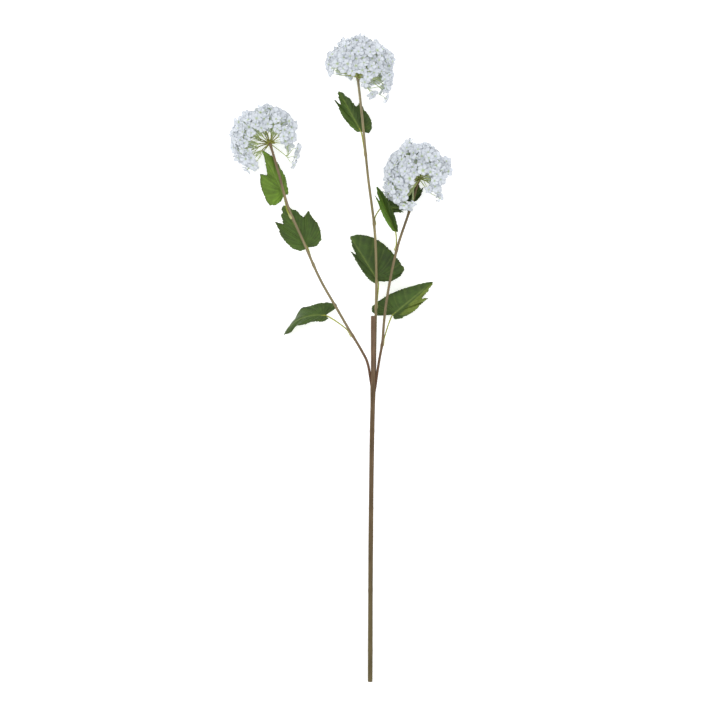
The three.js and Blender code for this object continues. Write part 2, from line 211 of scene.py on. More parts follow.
# One half of a blade, base to tip: share of the half width, share of the length.
EDGES = {
    "lobed": [
        (0, 0), (0.42, -0.03), (0.78, 0.08), (0.97, 0.26), (1, 0.42),
        (0.92, 0.55), (0.93, 0.74), (0.55, 0.62), (0.46, 0.72), (0.44, 0.82),
        (0.26, 0.86), (0.2, 0.95), (0, 1),
    ],
    "plain": [
        (0, 0), (0.42, -0.03), (0.78, 0.08), (0.97, 0.24), (1, 0.4),
        (0.94, 0.55), (0.84, 0.66), (0.7, 0.78), (0.5, 0.87), (0.3, 0.94),
        (0.14, 0.98), (0, 1),
    ],
    "round": [
        (0, 0), (0.34, -0.03), (0.7, 0), (0.98, 0.1), (1.1, 0.25),
        (1.08, 0.42), (0.96, 0.56), (0.72, 0.73), (0.42, 0.58), (0.3, 0.64),
        (0.18, 0.74), (0.1, 0.84), (0.05, 0.93), (0, 1),
    ],
    "late": [
        (0, 0), (0.4, -0.05), (0.8, -0.06), (1.08, -0.02), (1.02, 0.12),
        (0.92, 0.3), (0.96, 0.5), (1.12, 0.68), (1.14, 0.83), (0.95, 0.95),
        (0.6, 1.04), (0.25, 1.06), (0, 1),
    ],
    "full": [
        (0, 0), (0.42, 0), (0.74, 0.1), (1.04, 0.26), (1, 0.5),
        (0.96, 0.68), (0.86, 0.83), (0.7, 0.95), (0.5, 1.02), (0.28, 1.04),
        (0.12, 1.02), (0, 1),
    ],
}
USUAL_EDGES = ("lobed", "lobed")
# Where the vein that ends at a share of the edge's length leaves the midrib.
RIB_PLACES = [0, 0.61, 0.72, 0.785, 0.85, 0.89, 0.95, 1]
RIB_STARTS = [0, 0.12, 0.24, 0.4, 0.56, 0.7, 0.85, 1]
LEAF_THICKNESS = 0.5
PETIOLE_TUCK = 5.0  # how far the petiole runs on under the blade
TOOTH_PITCH = 3.6
TOOTH_DEPTH = 0.9
TOOTH_RISE = 0.75  # the share of its pitch over which a tooth rises
SIDE_VEINS = 9  # on each half
MINOR_VEINS = 18
VEIN_BOW = -0.03  # towards the tip, as a share of the blade's length
RIB_WIDTH = 0.9
RIB_DEPTH = 0.3
SIDE_VEIN_WIDTH = 0.22  # of beat, which is 0 on a vein and 1 midway between two
SIDE_VEIN_DEPTH = 0.25
UNDER_RIB_WIDTH = 0.7
UNDER_RIB_HEIGHT = 0.55
UNDER_VEIN_HEIGHT = 0.2
QUILT_HEIGHT = 0.375
RIPPLE_HEIGHT = 1.1
EDGE_DROOP = 0.02  # per mm across, squared
EDGE_THINNING = 0.7  # share of the thickness lost at the edge
VEIN_RAYS = 112
VEIN_SHARES = np.array([0, 0.018, 0.05, 0.11, 0.2, 0.33, 0.48, 0.64, 0.8, 0.92, 1])


def linear(red, green, blue):
    """A display colour from 0 to 255 as a linear colour."""
    share = np.array([red, green, blue]) / 255
    return np.where(share > 0.04045, ((share + 0.055) / 1.055) ** 2.4, share / 12.92)


PETAL = linear(222, 227, 235)
PETAL_SHADE = linear(220, 226, 233)
PETAL_THROAT = linear(198, 214, 168)
THROAT_HEART = linear(168, 192, 116)
PEDICEL = linear(190, 204, 150)
RAY = linear(164, 172, 96)
OPEN_RAY = linear(146, 146, 62)
YOUNG_RAY = (RAY + PEDICEL) / 2
LEAF_TOP = linear(60, 82, 27)
LEAF_VEIN = linear(106, 124, 56)
LEAF_UNDER = linear(104, 120, 44)
YOUNG_TOP = linear(98, 128, 40)
YOUNG_VEIN = linear(120, 146, 66)
PETIOLE = linear(160, 164, 60)
PETIOLE_FOOT = linear(178, 176, 122)
STEM = linear(99, 80, 58)
STEM_LOW = linear(98, 87, 58)
STEM_HIGH = linear(112, 90, 70)
WOOD = linear(196, 178, 134)
PITH = linear(150, 120, 76)
BRANCH_COLOURS = {
    "left": (linear(100, 72, 54), linear(132, 120, 90), linear(126, 108, 84)),
    "centre": (linear(88, 64, 46), linear(134, 122, 88), linear(146, 136, 106)),
    "right": (linear(98, 70, 52), linear(122, 108, 80), linear(98, 84, 60)),
}

# --------------------------------------------------------------- helpers

stem_low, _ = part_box("main_stem")
ORIGIN = np.array([stem_low.x / MM + STEM_RADIUS, stem_low.y / MM + STEM_LENGTH, 0.0])


def unit(vectors):
    vectors = np.asarray(vectors, float)
    return vectors / np.linalg.norm(vectors, axis=-1, keepdims=True)


def smooth(low, high, value):
    share = np.clip((value - low) / (high - low), 0, 1)
    return share * share * (3 - 2 * share)


def bell(value, middle, width):
    return np.exp(-(((value - middle) / width) ** 2))


def lengths(path):
    """How far along a path each of its points lies."""
    return np.r_[0, np.cumsum(np.linalg.norm(np.diff(path, axis=0), axis=1))]


def mixed(a, b, share):
    share = np.asarray(share, float)[..., None]
    return a * (1 - share) + b * share


class Shape:
    """Points, faces, colours and grain coordinates of one mesh in the making."""

    def __init__(self):
        self.points, self.faces, self.colours, self.grain, self.count = [], [], [], [], 0

    def add(self, points, faces, colours, grain):
        points = np.asarray(points, float).reshape(-1, 3)
        self.points.append(points)
        self.colours.append(np.broadcast_to(colours, points.shape))
        self.grain.append(np.asarray(grain, float).reshape(-1, 3))
        self.faces.extend([tuple(int(i) + self.count for i in face) for face in faces])
        self.count += len(points)

    def all_points(self):
        return np.concatenate(self.points)

    def piece(self, name, material, slot, nodes, welded=False):
        mesh = bpy.data.meshes.new(name)
        mesh.from_pydata((self.all_points() + ORIGIN) * MM, [], self.faces)
        mesh.polygons.foreach_set("use_smooth", np.ones(len(mesh.polygons), bool))
        tint = mesh.attributes.new("tint", "FLOAT_COLOR", "POINT")
        colours = np.concatenate(self.colours)
        opaque = np.concatenate([colours, np.ones((len(colours), 1))], 1)
        tint.data.foreach_set("color", opaque.astype(np.float32).ravel())
        grain = mesh.attributes.new("grain", "FLOAT_VECTOR", "POINT")
        grain.data.foreach_set("vector", np.concatenate(self.grain).astype(np.float32).ravel())
        mesh.materials.append(material)
        if welded:
            solid = bmesh.new()
            solid.from_mesh(mesh)
            bmesh.ops.remove_doubles(solid, verts=solid.verts, dist=WELD)
            solid.to_mesh(mesh)
            solid.free()
        mesh.update()
        piece = bpy.data.objects.new(name, mesh)
        bpy.context.scene.collection.objects.link(piece)
        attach(piece, "root")
        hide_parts(*nodes)
        return piece


def curve_point(points, share):
    """A point of the centripetal Catmull-Rom curve through these points."""
    last = len(points) - 1
    place = last * min(max(share, 0), 1)
    step = min(int(place), last - 1)
    weight = place - step
    p1, p2 = points[step], points[step + 1]
    p0 = points[step - 1] if step > 0 else 2 * points[0] - points[1]
    p3 = points[step + 2] if step + 2 <= last else 2 * points[last] - points[last - 1]
    d0, d1, d2 = (math.sqrt(np.linalg.norm(b - a)) for a, b in ((p0, p1), (p1, p2), (p2, p3)))
    t1 = ((p1 - p0) / d0 - (p2 - p0) / (d0 + d1) + (p2 - p1) / d1) * d1
    t2 = ((p2 - p1) / d1 - (p3 - p1) / (d1 + d2) + (p3 - p2) / d2) * d1
    return (
        p1 + t1 * weight + (3 * (p2 - p1) - 2 * t1 - t2) * weight**2
        + (2 * (p1 - p2) + t1 + t2) * weight**3
    )


def curve(points, count):
    """Points at even distances along the curve through these points."""
    points = np.asarray(points, float)
    fine = np.array([curve_point(points, s) for s in np.linspace(0, 1, count * 6)])
    length = lengths(fine)
    even = np.linspace(0, length[-1], count)
    return np.stack([np.interp(even, length, fine[:, k]) for k in range(3)], 1)


def at_y(path, y):
    return np.array([np.interp(y, path[:, 1], path[:, k]) for k in range(3)])


def rings(path, radii, sides):
    """Rings round a path, and the angle of each of their points."""
    ahead = unit(np.gradient(path, axis=0))
    across = np.zeros_like(path)
    start = np.cross(ahead[0], [0, 0, 1.0])
    across[0] = unit(start if np.linalg.norm(start) > 0.1 else np.cross(ahead[0], [0, 1.0, 0]))
    for i in range(1, len(path)):
        across[i] = unit(across[i - 1] - ahead[i] * (across[i - 1] @ ahead[i]))
    above = np.cross(ahead, across)
    turn = np.arange(sides) * 2 * math.pi / sides
    out = (across[:, None] * np.cos(turn)[None, :, None]
           + above[:, None] * np.sin(turn)[None, :, None])
    radii = np.asarray(radii, float)
    radii = radii[:, None] if radii.ndim == 1 else radii
    return path[:, None] + out * radii[..., None], turn


DOME_SHARE = 0.6  # how far a domed end stands out, as a share of its radius
DOME_ANGLES = np.radians([85, 60, 30])  # of its rings, up from its rim


def tube(shape, path, radii, sides, colours):
    """A closed tube with domed ends."""
    radii = np.asarray(radii, float) * np.ones(len(path))
    ahead = unit(np.gradient(path, axis=0))
    rise, inset = np.sin(DOME_ANGLES) * DOME_SHARE, np.cos(DOME_ANGLES)
    first = path[0] - ahead[0] * radii[0] * rise[:, None]
    last = path[-1] + ahead[-1] * radii[-1] * rise[::-1, None]
    whole = np.concatenate([first, path, last])
    widths = np.r_[radii[0] * inset, radii, radii[-1] * inset[::-1]]
    points, turn = rings(whole, widths, sides)
    length = lengths(whole)
    colours = np.broadcast_to(colours, path.shape)
    shown = np.concatenate([colours[[0] * 3], colours, colours[[-1] * 3]])
    add_rings(shape, points, np.repeat(shown[:, None], sides, 1), turn, length)


GRAIN_RADIUS = 3  # of every round stem in the coordinates that its grain is drawn in


def add_rings(shape, points, colours, turn, length):
    count, sides = points.shape[:2]
    quads = [
        (i * sides + j, i * sides + (j + 1) % sides,
         (i + 1) * sides + (j + 1) % sides, (i + 1) * sides + j)
        for i in range(count - 1) for j in range(sides)
    ]
    ends = [tuple(reversed(range(sides))), tuple((count - 1) * sides + j for j in range(sides))]
    grain = np.stack(np.broadcast_arrays(
        np.cos(turn)[None] * GRAIN_RADIUS, np.sin(turn)[None] * GRAIN_RADIUS, length[:, None],
    ), -1)
    shape.add(points, quads + ends, colours.reshape(-1, 3), grain)


def rested(points):
    """Points that would sink into the surface lie pressed against it instead."""
    sunk = np.minimum(points[:, 2] - SURFACE_CLEARANCE, 0)
    return points - np.outer(sunk * PRESSED_SHARE, [0, 0, 1])


def bezier(a, b, c, d, count):
    t = np.linspace(0, 1, count)[:, None]
    return (1 - t) ** 3 * a + 3 * t * (1 - t) ** 2 * b + 3 * t**2 * (1 - t) * c + t**3 * d


# ------------------------------------------------------------- materials


def new_material(name, roughness, specular):
    made = bpy.data.materials.new(name)
    made.use_nodes = True
    shader = made.node_tree.nodes["Principled BSDF"]
    shader.inputs["Roughness"].default_value = roughness
    shader.inputs["Specular IOR Level"].default_value = specular
    return made, made.node_tree, shader


def attribute(tree, name, output):
    node = tree.nodes.new("ShaderNodeAttribute")
    node.attribute_name = name
    return node.outputs[output]


def stretched(tree, vector, scale):
    node = tree.nodes.new("ShaderNodeMapping")
    node.inputs["Scale"].default_value = scale
    tree.links.new(vector, node.inputs["Vector"])
    return node.outputs["Vector"]


def noise(tree, vector, scale, detail=3.0, roughness=0.55):
    node = tree.nodes.new("ShaderNodeTexNoise")
    node.inputs["Scale"].default_value = scale
    node.inputs["Detail"].default_value = detail
    node.inputs["Roughness"].default_value = roughness
    tree.links.new(vector, node.inputs["Vector"])
    return node.outputs["Fac"]


def cell_edges(tree, vector, scale):
    node = tree.nodes.new("ShaderNodeTexVoronoi")
    node.feature = "DISTANCE_TO_EDGE"
    node.inputs["Scale"].default_value = scale
    tree.links.new(vector, node.inputs["Vector"])
    return node.outputs["Distance"]


def cell_middles(tree, vector, scale):
    node = tree.nodes.new("ShaderNodeTexVoronoi")
    node.inputs["Scale"].default_value = scale
    tree.links.new(vector, node.inputs["Vector"])
    return node.outputs["Distance"]


def ranged(tree, value, from_low, from_high, to_low, to_high):
    node = tree.nodes.new("ShaderNodeMapRange")
    for key, number in zip(("From Min", "From Max", "To Min", "To Max"),
                           (from_low, from_high, to_low, to_high)):
        node.inputs[key].default_value = number
    tree.links.new(value, node.inputs["Value"])
    return node.outputs["Result"]


def times(tree, a, b):
    node = tree.nodes.new("ShaderNodeMath")
    node.operation = "MULTIPLY"
    tree.links.new(a, node.inputs[0])
    tree.links.new(b, node.inputs[1])
    return node.outputs[0]


def brightened(tree, colour, value):
    node = tree.nodes.new("ShaderNodeHueSaturation")
    tree.links.new(colour, node.inputs["Color"])
    tree.links.new(value, node.inputs["Value"])
    return node.outputs["Color"]


def bumped(tree, shader, height, strength, distance):
    node = tree.nodes.new("ShaderNodeBump")
    node.inputs["Strength"].default_value = strength
    node.inputs["Distance"].default_value = distance
    tree.links.new(height, node.inputs["Height"])
    tree.links.new(node.outputs["Normal"], shader.inputs["Normal"])


def petal_material():
    """Thin white petals with fine long veins."""
    made, tree, shader = new_material("petal", 0.62, 0.25)
    grain = attribute(tree, "grain", "Vector")
    veins = noise(tree, stretched(tree, grain, (3.2, 0.35, 1)), 1.0, 3)
    cloud = noise(tree, grain, 0.35, 2)
    value = times(tree, ranged(tree, veins, 0.3, 0.7, 0.95, 1.03),
                  ranged(tree, cloud, 0.3, 0.7, 0.96, 1.03))
    colour = brightened(tree, attribute(tree, "tint", "Color"), value)
    tree.links.new(colour, shader.inputs["Base Color"])
    shader.inputs["Subsurface Weight"].default_value = 0.3
    shader.inputs["Subsurface Radius"].default_value = (1, 1, 1)
    shader.inputs["Subsurface Scale"].default_value = 0.002
    bumped(tree, shader, veins, 0.35, 0.0003)
    return made


def stalk_material():
    made, tree, shader = new_material("stalk", 0.5, 0.35)
    grain = attribute(tree, "grain", "Vector")
    streak = noise(tree, stretched(tree, grain, (1, 1, 0.2)), 1.1, 3)
    colour = brightened(tree, attribute(tree, "tint", "Color"),
                        ranged(tree, streak, 0.3, 0.7, 0.82, 1.14))
    tree.links.new(colour, shader.inputs["Base Color"])
    bumped(tree, shader, streak, 0.3, 0.0002)
    return made


def leaf_material():
    """A matt leaf with a fine net of veins and uneven green."""
    made, tree, shader = new_material("leaf", 0.55, 0.3)
    grain = attribute(tree, "grain", "Vector")
    net = cell_edges(tree, grain, 0.75)
    line = ranged(tree, net, 0.0, 0.12, 1.0, 0.0)
    cloud = noise(tree, grain, 0.11, 3)
    speck = noise(tree, grain, 1.6, 2)
    value = times(tree, ranged(tree, cloud, 0.3, 0.7, 0.8, 1.2),
                  ranged(tree, speck, 0.3, 0.7, 0.93, 1.07))
    value = times(tree, value, ranged(tree, line, 0, 1, 1.0, 1.14))
    colour = brightened(tree, attribute(tree, "tint", "Color"), value)
    tree.links.new(colour, shader.inputs["Base Color"])
    tree.links.new(ranged(tree, cloud, 0.3, 0.7, 0.48, 0.62), shader.inputs["Roughness"])
    bumped(tree, shader, ranged(tree, net, 0.0, 0.25, 0.0, 1.0), 0.45, 0.00025)
    return made


def bark_material():
    """Woody bark: long streaks, small pale lenticels and a dull surface."""
    made, tree, shader = new_material("bark", 0.75, 0.2)
    grain = attribute(tree, "grain", "Vector")
    streak = noise(tree, stretched(tree, grain, (1, 1, 0.06)), 1.2, 5, 0.6)
    cloud = noise(tree, stretched(tree, grain, (1, 1, 0.5)), 0.12, 3)
    spots = cell_middles(tree, stretched(tree, grain, (0.5, 0.5, 0.22)), 1.0)
    lenticel = ranged(tree, spots, 0.06, 0.14, 1.0, 0.0)
    value = times(tree, ranged(tree, streak, 0.3, 0.7, 0.72, 1.26),
                  ranged(tree, cloud, 0.35, 0.65, 0.86, 1.12))
    value = times(tree, value, ranged(tree, lenticel, 0, 1, 1.0, 1.4))
    colour = brightened(tree, attribute(tree, "tint", "Color"), value)
    tree.links.new(colour, shader.inputs["Base Color"])
    tree.links.new(ranged(tree, streak, 0.3, 0.7, 0.82, 0.62), shader.inputs["Roughness"])
    bumped(tree, shader, streak, 0.6, 0.0004)
    return made


PETALS = petal_material()
STALKS = stalk_material()
BLADES = leaf_material()
BARK = bark_material()

# ----------------------------------------------------------------- stems

STEM_POINTS = 300
STEM_SIDES = 36
BRANCH_POINTS = 220
BRANCH_SIDES = 20

branch_paths = {side: curve(points, BRANCH_POINTS) for side, points in BRANCHES.items()}
stem_path = curve([
    (drift, (share - 1) * STEM_LENGTH,
     STEM_RADIUS + share * (STEM_TOP_HEIGHT - STEM_RADIUS))
    for share, drift in STEM_DRIFT
], STEM_POINTS)


RIDGE_DEPTH = 0.012
# share by which the bark is painted darker in the ridges' grooves and lighter on their crests:
# painted shade and painted light
RIDGE_PAINTED_SHADE = 0.07
# The waves of the ridges: how many go round, their phase and their twist.
STEM_WAVES = [(3, 0.4, 0.004), (5, 1.9, -0.006), (8, 0.7, 0.01), (13, 2.6, -0.012)]
BRANCH_WAVES = [(2, 0.3, 0.012), (3, 2.2, -0.02), (5, 1.1, 0.03)]
# Where the bark changes colour: on the stem as shares of its length and as places along
# it, on a branch as lengths from its foot and from its knob.
STEM_LOW_BARK = (0.1, 0.6)
STEM_HIGH_BARK = (-95, -60)
FOOT_BARK = (20, 120)
KNOB_BARK = (110, 20)
KNOB_ANGLES = np.radians([0, 25, 50, 70, 85])  # of the rings of its dome
# From the bark inwards: share of the radius, how far it stands out, colour.
CUT_FACE = [
    (1.0, 0.0, STEM), (0.93, 0.22, STEM * 1.2), (0.84, 0.16, WOOD),
    (0.5, 0.2, WOOD), (0.3, 0.12, PITH), (0.05, 0.1, PITH),
]


def woody(shape, path, radius, sides, colours, waves):
    """A woody stem with long shallow ridges, painted darker in their grooves and lighter on
    their crests: painted shade and painted light. radius is one number to a ring.
    """
    length = lengths(path)
    turn = np.arange(sides) * 2 * math.pi / sides
    ridges = sum(
        np.cos(k * turn[None] + phase + twist * length[:, None])
        for k, phase, twist in waves
    )
    points, turn = rings(path, radius[:, None] * (1 + RIDGE_DEPTH * ridges), sides)
    # painted shade in the grooves and painted light on the crests of the ridges
    shades = np.repeat(colours[:, None], sides, 1) * (1 + RIDGE_PAINTED_SHADE * ridges[..., None])
    add_rings(shape, points, shades, turn, length)
    return points, turn


def add_cut_face(shape, rim, middle, face_out, turn, turned):
    """A rim of bark round paler wood and its pith, over a cut end."""
    disc = np.stack([
        middle + (rim - middle) * share + face_out * lift for share, lift, _ in CUT_FACE
    ])
    shades = np.stack([np.broadcast_to(shade, rim.shape) for _, _, shade in CUT_FACE])
    if turned:
        disc, shades = disc[::-1], shades[::-1]
    add_rings(shape, disc, shades, turn, np.array([lift for _, lift, _ in CUT_FACE]))


def build_stem():
    shape = Shape()
    share = np.linspace(0, 1, len(stem_path))
    y = stem_path[:, 1]
    collar = COLLAR_SWELL * bell(y, FORK_PLACE, COLLAR_WIDTH)
    nodes = sum(STEM_NODE_SWELL * bell(y, -place, STEM_NODE_WIDTH) for place in STEM_NODES)
    widening = STEM_WIDENING * smooth(0.02, 0.2, share)
    radius = STEM_RADIUS * (1 + STEM_WAVER * np.sin(share * 21) + widening) + collar + nodes
    colours = mixed(STEM_LOW, STEM, smooth(*STEM_LOW_BARK, share))
    colours = mixed(colours, STEM_HIGH, smooth(*STEM_HIGH_BARK, y))
    points, turn = woody(shape, stem_path, radius, STEM_SIDES, colours, STEM_WAVES)
    back = -unit(stem_path[1] - stem_path[0])
    ahead = unit(stem_path[-1] - stem_path[-2])
    add_cut_face(shape, points[0], stem_path[0], back, turn, True)
    add_cut_face(shape, points[-1], stem_path[-1], ahead, turn, False)
    shape.piece("main_stem_bark", BARK, "stem", ["main_stem"])


def build_branches():
    for side, path in branch_paths.items():
        shape = Shape()
        length = lengths(path)
        left = length[-1] - length
        foot, middle, top = BRANCH_COLOURS[side]
        colours = mixed(foot, middle, smooth(*FOOT_BARK, length))
        colours = mixed(colours, top, smooth(*KNOB_BARK, left))
        nodes = np.zeros(len(path))
        for leaf in LEAVES.values():
            if leaf["branch"] == side:
                nodes += bell(path[:, 1], leaf["node"], BRANCH_NODE_WIDTH)
        flare = BRANCH_FLARE * np.exp(-length / BRANCH_FLARE_LENGTH)
        radius = BRANCH_RADIUS * (1 + flare) + BRANCH_NODE_SWELL * np.minimum(nodes, 1)
        radius = radius + (KNOB_WAIST - BRANCH_RADIUS) * smooth(KNOB_NECK, 0, left)
        taper = (1 - BRANCH_FOOT_SHARE) * smooth(0, BRANCH_FOOT, length)
        radius = radius * (BRANCH_FOOT_SHARE + taper)
        woody(shape, path, radius, BRANCH_SIDES, colours, BRANCH_WAVES)
        ahead = unit(path[-1] - path[-3])
        dome = path[-1] + ahead * KNOB_RADIUS * DOME_SHARE * np.sin(KNOB_ANGLES)[:, None]
        tube(shape, dome, KNOB_WAIST * np.cos(KNOB_ANGLES), BRANCH_SIDES, top)
        shape.piece(f"{side}_branch_bark", BARK, "branch", [f"{side}_branch"])


# ---------------------------------------------------------------- leaves


def toothed(line, even, total):
    """An edge with uneven teeth, which fade towards its ends."""
    along = unit(np.gradient(line, axis=0))
    out = np.stack([along[:, 1], -along[:, 0]], 1)
    lag = rng.uniform(0, 2 * math.pi, 3)
    teeth = (even / TOOTH_PITCH + 0.5 * np.sin(even * 0.31 + lag[0])) % 1
    fall = (1 - teeth) / (1 - TOOTH_RISE)
    bite = np.where(teeth < TOOTH_RISE, teeth / TOOTH_RISE, fall) - 0.5
    bite = bite * (1 + 0.6 * np.sin(even * 0.47 + lag[1])) + 0.25 * np.sin(even * 0.23 + lag[2])
    fade = smooth(0, 8, even) * smooth(0, 5, total - even)
    return line + out * (bite * TOOTH_DEPTH * fade)[:, None]


def half_outline(leaf, side, length):
    """The edge of one half, the midrib shares its veins start at, and the edge shares."""
    index = 0 if side < 0 else 1
    table = np.array(EDGES[leaf.get("edges", USUAL_EDGES)[index]], float)
    edge = table * [leaf["widths"][index], length]
    arc = lengths(edge)
    even = np.linspace(0, arc[-1], VEIN_RAYS)
    line = np.stack([np.interp(even, arc, edge[:, k]) for k in (0, 1)], 1)
    for _ in range(2):
        line[1:-1] = (line[:-2] + 2 * line[1:-1] + line[2:]) / 4
    start = np.interp(even / arc[-1], RIB_PLACES, RIB_STARTS)
    line = toothed(line, even, arc[-1])
    line[:, 0] = np.maximum(line[:, 0], 0.02)
    line[[0, -1], 0] = 0
    return line * [side, 1], start, even / arc[-1]


def bend_blade(leaf, across, along, lift, length):
    fold = math.radians(leaf["fold"])
    share = along / length
    skew = np.where(across < 0, leaf["skew"][0], leaf["skew"][1])
    bow = 4 * leaf["arch"] * share * (1 - share)
    return np.stack([
        across * math.cos(fold),
        along + across * skew,
        np.abs(across) * math.sin(fold) + bow + lift,
    ], -1)


def blade_place(leaf):
    base, tip = np.array(leaf["base"], float), np.array(leaf["tip"], float)
    along = unit(tip - base)
    across = unit(np.cross(along, leaf["face"]))
    return base, np.stack([across, along, np.cross(across, along)])


def blade_faces(rows, cols, side):
    """The faces of one half: its upper skin, and its lower skin, which shares the edge."""
    ids = np.arange(rows * cols).reshape(rows, cols)
    low_ids = ids + rows * cols
    low_ids[:, -1] = ids[:, -1]
    quads = []
    for i in range(rows - 1):
        for j in range(cols - 1):
            face = (ids[i, j], ids[i, j + 1], ids[i + 1, j + 1], ids[i + 1, j])
            under = (low_ids[i, j], low_ids[i + 1, j],
                     low_ids[i + 1, j + 1], low_ids[i, j + 1])
            quads.append(face if side > 0 else face[::-1])
            quads.append(under if side > 0 else under[::-1])
    return quads


def add_blade_half(shape, leaf, side, base, basis, length, phase):
    """One half of a blade, -1 for the left and 1 for the right. place runs along its
    edge, and away runs from the midrib, along each vein, to that edge."""
    edge, start, place = half_outline(leaf, side, length)
    rib = np.stack([0 * start, start * length], 1)
    u = VEIN_SHARES[None, :, None]
    flat = rib[:, None] * (1 - u) + edge[:, None] * u
    flat[..., 1] += (4 * VEIN_SHARES * (1 - VEIN_SHARES))[None] * VEIN_BOW * length \
        * (smooth(0.05, 0.3, place) * smooth(1, 0.7, place))[:, None]
    across, along = flat[..., 0], flat[..., 1]
    beat = np.abs(np.sin(math.pi * place * SIDE_VEINS))[:, None]
    away = VEIN_SHARES[None] * np.ones_like(beat)
    ribs = bell(across, 0, RIB_WIDTH)
    side_vein = bell(beat, 0, SIDE_VEIN_WIDTH) * smooth(0.02, 0.12, away) \
        * smooth(1.02, 0.8, away)

    quilt = QUILT_HEIGHT * beat * 4 * away * (1 - 0.75 * away)
    ripple = RIPPLE_HEIGHT * away**2 * np.sin(place * 21 + phase[0])[:, None] \
        + RIPPLE_HEIGHT * away**2 * np.sin(place * 9 + phase[1])[:, None]
    droop = -EDGE_DROOP * across**2 / (1 + (across / 14) ** 2)
    lift = quilt + ripple + droop - RIB_DEPTH * ribs - SIDE_VEIN_DEPTH * side_vein
    half = LEAF_THICKNESS / 2 * (1 - EDGE_THINNING * away)
    under_rib = UNDER_RIB_HEIGHT * bell(across, 0, UNDER_RIB_WIDTH) \
        * (1 - 0.6 * along / length)
    below = lift - half - under_rib - UNDER_VEIN_HEIGHT * side_vein
    upper = bend_blade(leaf, across, along, lift + half, length)
    lower = bend_blade(leaf, across, along, below, length)
    lower[:, -1] = upper[:, -1]

    young = leaf.get("young", 0)
    top, vein = mixed(LEAF_TOP, YOUNG_TOP, young), mixed(LEAF_VEIN, YOUNG_VEIN, young)
    blotch = np.sin(place * 7 + phase[2])[:, None] * np.sin(away * 3 + phase[3]) \
        + 0.6 * np.sin(place * 17 + phase[1])[:, None] * np.sin(away * 7 + phase[0])
    minor = np.cos(2 * math.pi * place * MINOR_VEINS)[:, None] * smooth(0.05, 0.3, away)
    # shade: partly the leaf's own tone, partly painted light and painted shade on one half
    shade = leaf.get("shade", (1, 1))[0 if side < 0 else 1]
    # painted shade beside the sunken side veins and painted light on the raised panels between
    # them; the green also darkens towards the edge
    panel_light_and_shade = 0.3 * (beat - 0.6) * np.sin(math.pi * np.minimum(away * 1.15, 1)) - 0.12 * away**4
    green = top * (shade * (1 + 0.17 * blotch + 0.07 * minor + panel_light_and_shade))[..., None]
    rib_tint = ribs * (1 - 0.5 * along / length)
    green = mixed(green, vein * min(shade, 1.3), np.clip(rib_tint + side_vein * 0.25, 0, 1))
    olive = mixed(LEAF_UNDER, LEAF_VEIN * 1.25, np.clip(ribs + side_vein * 0.6, 0, 1))
    if side > 0 and leaf.get("rolled"):
        rolled = smooth(0.3, 0.5, away) * smooth(0.2, 0.35, place)[:, None]
        green = mixed(green, olive, rolled)

    grain = np.stack([across, along, 0 * along], -1).reshape(-1, 3)
    points = np.concatenate([upper.reshape(-1, 3), lower.reshape(-1, 3)])
    colours = np.concatenate([green.reshape(-1, 3), olive.reshape(-1, 3)])
    shape.add(rested(points @ basis + base), blade_faces(*across.shape, side), colours,
              np.concatenate([grain, grain + [0, 0, 40]]))


def build_leaf(name, leaf):
    shape = Shape()
    base, basis = blade_place(leaf)
    length = float(np.linalg.norm(np.array(leaf["tip"]) - base))
    phase = rng.uniform(0, 6.28, 4)
    for side in (-1, 1):
        add_blade_half(shape, leaf, side, base, basis, length, phase)
    add_petiole(shape, leaf, base, basis, length)
    shape.piece(f"{name}_blade", BLADES, "leaf", [f"{name}_leaf"], welded=True)
    return shape.all_points()


def add_petiole(shape, leaf, base, basis, length):
    path = branch_paths[leaf["branch"]]
    beside = base - at_y(path, base[1])
    beside[1] = 0
    side = unit(leaf.get("petiole_side", beside))
    side = side * (BRANCH_RADIUS + PETIOLE_RADIUS + PETIOLE_GAP)
    tuck = bend_blade(leaf, np.array(0.0), np.array(PETIOLE_TUCK),
                      np.array(-LEAF_THICKNESS), length) @ basis + base
    start = at_y(path, leaf["node"]) + side * 0.7
    middle = at_y(path, leaf["node"] + 8) + side * 1.1
    line = curve([start, middle, base - [0, 0, 0.4], tuck], 40)
    share = np.linspace(0, 1, len(line))
    radii = PETIOLE_RADIUS * (1 + smooth(0.22, 0.02, share) - 0.25 * smooth(0.8, 1, share))
    colours = mixed(PETIOLE_FOOT, PETIOLE, smooth(0.1, 0.26, share))
    tube(shape, line, radii, 12, colours)


# ----------------------------------------------------------------- heads


def dome_directions(count, coverage):
    """Directions spread evenly over a dome round +Z, out to an angle from it."""
    golden = math.pi * (3 - math.sqrt(5))
    i = np.arange(count)
    height = 1 - (1 - math.cos(math.radians(coverage))) * (i + 0.5) / count
    ring = np.sqrt(1 - height**2)
    return np.stack([ring * np.cos(i * golden), ring * np.sin(i * golden), height], 1)


PETALS_PER_FLORET = 5
PETAL_ROWS = np.array([0, 0.12, 0.26, 0.42, 0.58, 0.74, 0.88, 1])
PETAL_WIDTHS = np.array([0.2, 0.34, 0.64, 0.9, 1.0, 0.92, 0.7, 0.3])
PETAL_COLUMNS = np.linspace(-1, 1, 7)
PETAL_START = 0.5  # from the middle of the floret
PETAL_THICKNESS = 0.28
CALYX_LENGTH = 3.2


def petal_faces():
    rows, cols = len(PETAL_ROWS), len(PETAL_COLUMNS)
    ids = np.arange(rows * cols).reshape(rows, cols)
    low = ids.copy()
    low[1:-1, 1:-1] = rows * cols + np.arange((rows - 2) * (cols - 2)).reshape(rows - 2, -1)
    quads = []
    for i in range(rows - 1):
        for j in range(cols - 1):
            quads.append((ids[i, j], ids[i, j + 1], ids[i + 1, j + 1], ids[i + 1, j]))
            quads.append((low[i, j], low[i + 1, j], low[i + 1, j + 1], low[i, j + 1]))
    return quads


PETAL_FACES = petal_faces()


def facing(outward):
    """A turned frame whose third row looks outward."""
    side = unit(np.cross(outward, [0.3, -0.5, 0.81]))
    return np.stack([side, np.cross(outward, side), outward])


